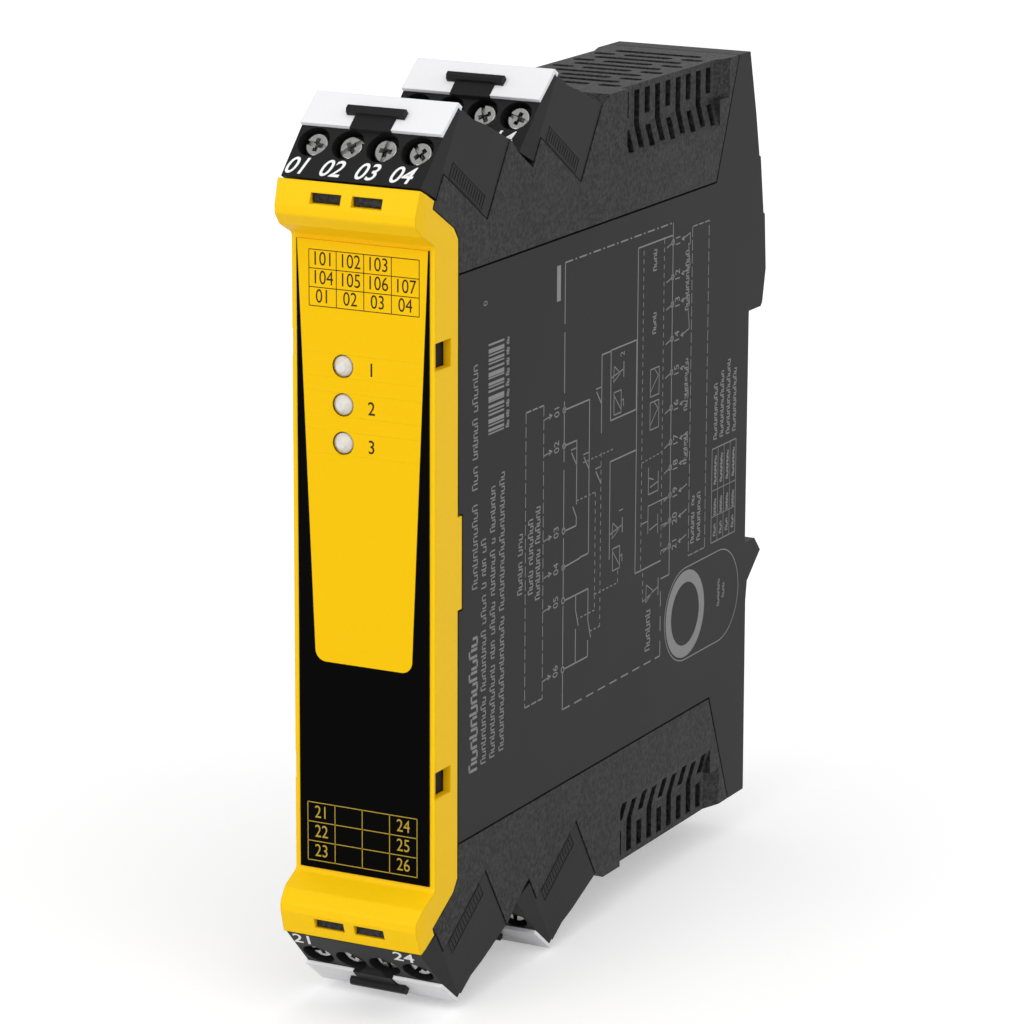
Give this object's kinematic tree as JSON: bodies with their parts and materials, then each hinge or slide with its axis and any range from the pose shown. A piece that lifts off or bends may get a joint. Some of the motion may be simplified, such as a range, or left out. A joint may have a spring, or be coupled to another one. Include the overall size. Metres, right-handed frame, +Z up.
{
  "type": "safety relay",
  "caption": "Slim rail-mounted relay module with pull-off front cover, four plug-in screw terminal blocks, ventilated housing and sprung rail foot.",
  "frame": {"origin": "middle of the rail seat, on the plane where the housing rests on the rail flanges", "axes": "+X across the module to its right as the operator sees it, +Y from the operator to the rail, +Z up"},
  "size_m": [0.0226, 0.1139, 0.131],
  "materials": {
    "housing": "smooth moulded dark grey plastic",
    "terminal_housing": "fine-grained dark grey plastic",
    "cover": "smooth yellow plastic",
    "label": "printed film",
    "foot": "smooth black plastic",
    "spring_steel": "bright wire",
    "board": "green solder mask",
    "relay_case": "satin",
    "capacitor_can": "satin",
    "lamp": "diffused lens",
    "header": "black",
    "tinned_pin": "tinned",
    "plug": "fine-grained black plastic",
    "marker": "smooth white plastic",
    "contact": "tinned",
    "screw": "zinc plated",
    "cage": "nickel plated"
  },
  "bodies": {
    "housing": {"housing_shell_left": "housing", "housing_shell_right": "housing", "terminal_block_upper": "terminal_housing", "terminal_block_lower": "terminal_housing", "foot_spring": "spring_steel", "main_board": "board", "relay_1": "relay_case", "relay_2": "relay_case", "capacitors": "capacitor_can", "status_lamps": "lamp", "pin_headers": "header", "header_pins": "tinned_pin"},
    "cover": {"front_cover": "cover", "front_label": "label"},
    "foot": {"rail_foot": "foot"},
    "plug_upper_front": {"plug_upper_front": "plug", "marker_upper_front": "marker", "contacts_upper_front": "contact"},
    "screw_upper_front_1": {"screw_upper_front_1": "screw"},
    "cage_upper_front_1": {"cage_upper_front_1": "cage"},
    "screw_upper_front_2": {"screw_upper_front_2": "screw"},
    "cage_upper_front_2": {"cage_upper_front_2": "cage"},
    "screw_upper_front_3": {"screw_upper_front_3": "screw"},
    "cage_upper_front_3": {"cage_upper_front_3": "cage"},
    "screw_upper_front_4": {"screw_upper_front_4": "screw"},
    "cage_upper_front_4": {"cage_upper_front_4": "cage"},
    "plug_upper_rear": {"plug_upper_rear": "plug", "marker_upper_rear": "marker", "contacts_upper_rear": "contact"},
    "screw_upper_rear_1": {"screw_upper_rear_1": "screw"},
    "cage_upper_rear_1": {"cage_upper_rear_1": "cage"},
    "screw_upper_rear_2": {"screw_upper_rear_2": "screw"},
    "cage_upper_rear_2": {"cage_upper_rear_2": "cage"},
    "screw_upper_rear_3": {"screw_upper_rear_3": "screw"},
    "cage_upper_rear_3": {"cage_upper_rear_3": "cage"},
    "screw_upper_rear_4": {"screw_upper_rear_4": "screw"},
    "cage_upper_rear_4": {"cage_upper_rear_4": "cage"},
    "plug_lower_front": {"plug_lower_front": "plug", "marker_lower_front": "marker", "contacts_lower_front": "contact"},
    "screw_lower_front_1": {"screw_lower_front_1": "screw"},
    "cage_lower_front_1": {"cage_lower_front_1": "cage"},
    "screw_lower_front_2": {"screw_lower_front_2": "screw"},
    "cage_lower_front_2": {"cage_lower_front_2": "cage"},
    "screw_lower_front_3": {"screw_lower_front_3": "screw"},
    "cage_lower_front_3": {"cage_lower_front_3": "cage"},
    "screw_lower_front_4": {"screw_lower_front_4": "screw"},
    "cage_lower_front_4": {"cage_lower_front_4": "cage"},
    "plug_lower_rear": {"plug_lower_rear": "plug", "marker_lower_rear": "marker", "contacts_lower_rear": "contact"},
    "screw_lower_rear_1": {"screw_lower_rear_1": "screw"},
    "cage_lower_rear_1": {"cage_lower_rear_1": "cage"},
    "screw_lower_rear_2": {"screw_lower_rear_2": "screw"},
    "cage_lower_rear_2": {"cage_lower_rear_2": "cage"},
    "screw_lower_rear_3": {"screw_lower_rear_3": "screw"},
    "cage_lower_rear_3": {"cage_lower_rear_3": "cage"},
    "screw_lower_rear_4": {"screw_lower_rear_4": "screw"},
    "cage_lower_rear_4": {"cage_lower_rear_4": "cage"}
  },
  "joints": [
    {"name": "cover_slide", "type": "slide", "parent": "housing", "child": "cover", "axis": [0, -1, 0], "range_m": [0, 0.014]},
    {"name": "foot_slide", "type": "slide", "parent": "housing", "child": "foot", "axis": [0, 0, -1], "range_m": [0, 0.003], "stiffness_N_per_m": 100, "springref_m": -0.0005, "deforming": ["foot_spring"]},
    {"name": "upper_front_plug_slide", "type": "slide", "parent": "housing", "child": "plug_upper_front", "axis": [0, -0.8387, 0.5446], "range_m": [0, 0.018]},
    {"name": "upper_front_screw_1_turn", "type": "hinge", "parent": "plug_upper_front", "child": "screw_upper_front_1", "pos_m": [-0.0081, -0.09977, 0.05731], "axis": [0, 0.8387, -0.5446], "range_deg": [0, 1440.8]},
    {"name": "upper_front_cage_1_slide", "type": "slide", "parent": "plug_upper_front", "child": "cage_upper_front_1", "axis": [0, -0.8387, 0.5446], "range_m": [0, 0.002]},
    {"name": "upper_front_screw_2_turn", "type": "hinge", "parent": "plug_upper_front", "child": "screw_upper_front_2", "pos_m": [-0.0027, -0.09977, 0.05731], "axis": [0, 0.8387, -0.5446], "range_deg": [0, 1440.8]},
    {"name": "upper_front_cage_2_slide", "type": "slide", "parent": "plug_upper_front", "child": "cage_upper_front_2", "axis": [0, -0.8387, 0.5446], "range_m": [0, 0.002]},
    {"name": "upper_front_screw_3_turn", "type": "hinge", "parent": "plug_upper_front", "child": "screw_upper_front_3", "pos_m": [0.0027, -0.09977, 0.05731], "axis": [0, 0.8387, -0.5446], "range_deg": [0, 1440.8]},
    {"name": "upper_front_cage_3_slide", "type": "slide", "parent": "plug_upper_front", "child": "cage_upper_front_3", "axis": [0, -0.8387, 0.5446], "range_m": [0, 0.002]},
    {"name": "upper_front_screw_4_turn", "type": "hinge", "parent": "plug_upper_front", "child": "screw_upper_front_4", "pos_m": [0.0081, -0.09977, 0.05731], "axis": [0, 0.8387, -0.5446], "range_deg": [0, 1440.8]},
    {"name": "upper_front_cage_4_slide", "type": "slide", "parent": "plug_upper_front", "child": "cage_upper_front_4", "axis": [0, -0.8387, 0.5446], "range_m": [0, 0.002]},
    {"name": "upper_rear_plug_slide", "type": "slide", "parent": "housing", "child": "plug_upper_rear", "axis": [0, -0.8387, 0.5446], "range_m": [0, 0.018]},
    {"name": "upper_rear_screw_1_turn", "type": "hinge", "parent": "plug_upper_rear", "child": "screw_upper_rear_1", "pos_m": [-0.0081, -0.07097, 0.05811], "axis": [0, 0.8387, -0.5446], "range_deg": [0, 1440.8]},
    {"name": "upper_rear_cage_1_slide", "type": "slide", "parent": "plug_upper_rear", "child": "cage_upper_rear_1", "axis": [0, -0.8387, 0.5446], "range_m": [0, 0.002]},
    {"name": "upper_rear_screw_2_turn", "type": "hinge", "parent": "plug_upper_rear", "child": "screw_upper_rear_2", "pos_m": [-0.0027, -0.07097, 0.05811], "axis": [0, 0.8387, -0.5446], "range_deg": [0, 1440.8]},
    {"name": "upper_rear_cage_2_slide", "type": "slide", "parent": "plug_upper_rear", "child": "cage_upper_rear_2", "axis": [0, -0.8387, 0.5446], "range_m": [0, 0.002]},
    {"name": "upper_rear_screw_3_turn", "type": "hinge", "parent": "plug_upper_rear", "child": "screw_upper_rear_3", "pos_m": [0.0027, -0.07097, 0.05811], "axis": [0, 0.8387, -0.5446], "range_deg": [0, 1440.8]},
    {"name": "upper_rear_cage_3_slide", "type": "slide", "parent": "plug_upper_rear", "child": "cage_upper_rear_3", "axis": [0, -0.8387, 0.5446], "range_m": [0, 0.002]},
    {"name": "upper_rear_screw_4_turn", "type": "hinge", "parent": "plug_upper_rear", "child": "screw_upper_rear_4", "pos_m": [0.0081, -0.07097, 0.05811], "axis": [0, 0.8387, -0.5446], "range_deg": [0, 1440.8]},
    {"name": "upper_rear_cage_4_slide", "type": "slide", "parent": "plug_upper_rear", "child": "cage_upper_rear_4", "axis": [0, -0.8387, 0.5446], "range_m": [0, 0.002]},
    {"name": "lower_front_plug_slide", "type": "slide", "parent": "housing", "child": "plug_lower_front", "axis": [0, -0.8387, -0.5446], "range_m": [0, 0.018]},
    {"name": "lower_front_screw_1_turn", "type": "hinge", "parent": "plug_lower_front", "child": "screw_lower_front_1", "pos_m": [0.0081, -0.09977, -0.05731], "axis": [0, 0.8387, 0.5446], "range_deg": [0, 1440.8]},
    {"name": "lower_front_cage_1_slide", "type": "slide", "parent": "plug_lower_front", "child": "cage_lower_front_1", "axis": [0, -0.8387, -0.5446], "range_m": [0, 0.002]},
    {"name": "lower_front_screw_2_turn", "type": "hinge", "parent": "plug_lower_front", "child": "screw_lower_front_2", "pos_m": [0.0027, -0.09977, -0.05731], "axis": [0, 0.8387, 0.5446], "range_deg": [0, 1440.8]},
    {"name": "lower_front_cage_2_slide", "type": "slide", "parent": "plug_lower_front", "child": "cage_lower_front_2", "axis": [0, -0.8387, -0.5446], "range_m": [0, 0.002]},
    {"name": "lower_front_screw_3_turn", "type": "hinge", "parent": "plug_lower_front", "child": "screw_lower_front_3", "pos_m": [-0.0027, -0.09977, -0.05731], "axis": [0, 0.8387, 0.5446], "range_deg": [0, 1440.8]},
    {"name": "lower_front_cage_3_slide", "type": "slide", "parent": "plug_lower_front", "child": "cage_lower_front_3", "axis": [0, -0.8387, -0.5446], "range_m": [0, 0.002]},
    {"name": "lower_front_screw_4_turn", "type": "hinge", "parent": "plug_lower_front", "child": "screw_lower_front_4", "pos_m": [-0.0081, -0.09977, -0.05731], "axis": [0, 0.8387, 0.5446], "range_deg": [0, 1440.8]},
    {"name": "lower_front_cage_4_slide", "type": "slide", "parent": "plug_lower_front", "child": "cage_lower_front_4", "axis": [0, -0.8387, -0.5446], "range_m": [0, 0.002]},
    {"name": "lower_rear_plug_slide", "type": "slide", "parent": "housing", "child": "plug_lower_rear", "axis": [0, -0.8387, -0.5446], "range_m": [0, 0.018]},
    {"name": "lower_rear_screw_1_turn", "type": "hinge", "parent": "plug_lower_rear", "child": "screw_lower_rear_1", "pos_m": [0.0081, -0.07097, -0.05811], "axis": [0, 0.8387, 0.5446], "range_deg": [0, 1440.8]},
    {"name": "lower_rear_cage_1_slide", "type": "slide", "parent": "plug_lower_rear", "child": "cage_lower_rear_1", "axis": [0, -0.8387, -0.5446], "range_m": [0, 0.002]},
    {"name": "lower_rear_screw_2_turn", "type": "hinge", "parent": "plug_lower_rear", "child": "screw_lower_rear_2", "pos_m": [0.0027, -0.07097, -0.05811], "axis": [0, 0.8387, 0.5446], "range_deg": [0, 1440.8]},
    {"name": "lower_rear_cage_2_slide", "type": "slide", "parent": "plug_lower_rear", "child": "cage_lower_rear_2", "axis": [0, -0.8387, -0.5446], "range_m": [0, 0.002]},
    {"name": "lower_rear_screw_3_turn", "type": "hinge", "parent": "plug_lower_rear", "child": "screw_lower_rear_3", "pos_m": [-0.0027, -0.07097, -0.05811], "axis": [0, 0.8387, 0.5446], "range_deg": [0, 1440.8]},
    {"name": "lower_rear_cage_3_slide", "type": "slide", "parent": "plug_lower_rear", "child": "cage_lower_rear_3", "axis": [0, -0.8387, -0.5446], "range_m": [0, 0.002]},
    {"name": "lower_rear_screw_4_turn", "type": "hinge", "parent": "plug_lower_rear", "child": "screw_lower_rear_4", "pos_m": [-0.0081, -0.07097, -0.05811], "axis": [0, 0.8387, 0.5446], "range_deg": [0, 1440.8]},
    {"name": "lower_rear_cage_4_slide", "type": "slide", "parent": "plug_lower_rear", "child": "cage_lower_rear_4", "axis": [0, -0.8387, -0.5446], "range_m": [0, 0.002]}
  ],
  "couplings": [
    {"joint": "upper_front_screw_1_turn", "follows": "upper_front_cage_1_slide", "rad_per_m": 12566},
    {"joint": "upper_front_screw_2_turn", "follows": "upper_front_cage_2_slide", "rad_per_m": 12566},
    {"joint": "upper_front_screw_3_turn", "follows": "upper_front_cage_3_slide", "rad_per_m": 12566},
    {"joint": "upper_front_screw_4_turn", "follows": "upper_front_cage_4_slide", "rad_per_m": 12566},
    {"joint": "upper_rear_screw_1_turn", "follows": "upper_rear_cage_1_slide", "rad_per_m": 12566},
    {"joint": "upper_rear_screw_2_turn", "follows": "upper_rear_cage_2_slide", "rad_per_m": 12566},
    {"joint": "upper_rear_screw_3_turn", "follows": "upper_rear_cage_3_slide", "rad_per_m": 12566},
    {"joint": "upper_rear_screw_4_turn", "follows": "upper_rear_cage_4_slide", "rad_per_m": 12566},
    {"joint": "lower_front_screw_1_turn", "follows": "lower_front_cage_1_slide", "rad_per_m": 12566},
    {"joint": "lower_front_screw_2_turn", "follows": "lower_front_cage_2_slide", "rad_per_m": 12566},
    {"joint": "lower_front_screw_3_turn", "follows": "lower_front_cage_3_slide", "rad_per_m": 12566},
    {"joint": "lower_front_screw_4_turn", "follows": "lower_front_cage_4_slide", "rad_per_m": 12566},
    {"joint": "lower_rear_screw_1_turn", "follows": "lower_rear_cage_1_slide", "rad_per_m": 12566},
    {"joint": "lower_rear_screw_2_turn", "follows": "lower_rear_cage_2_slide", "rad_per_m": 12566},
    {"joint": "lower_rear_screw_3_turn", "follows": "lower_rear_cage_3_slide", "rad_per_m": 12566},
    {"joint": "lower_rear_screw_4_turn", "follows": "lower_rear_cage_4_slide", "rad_per_m": 12566}
  ]
}
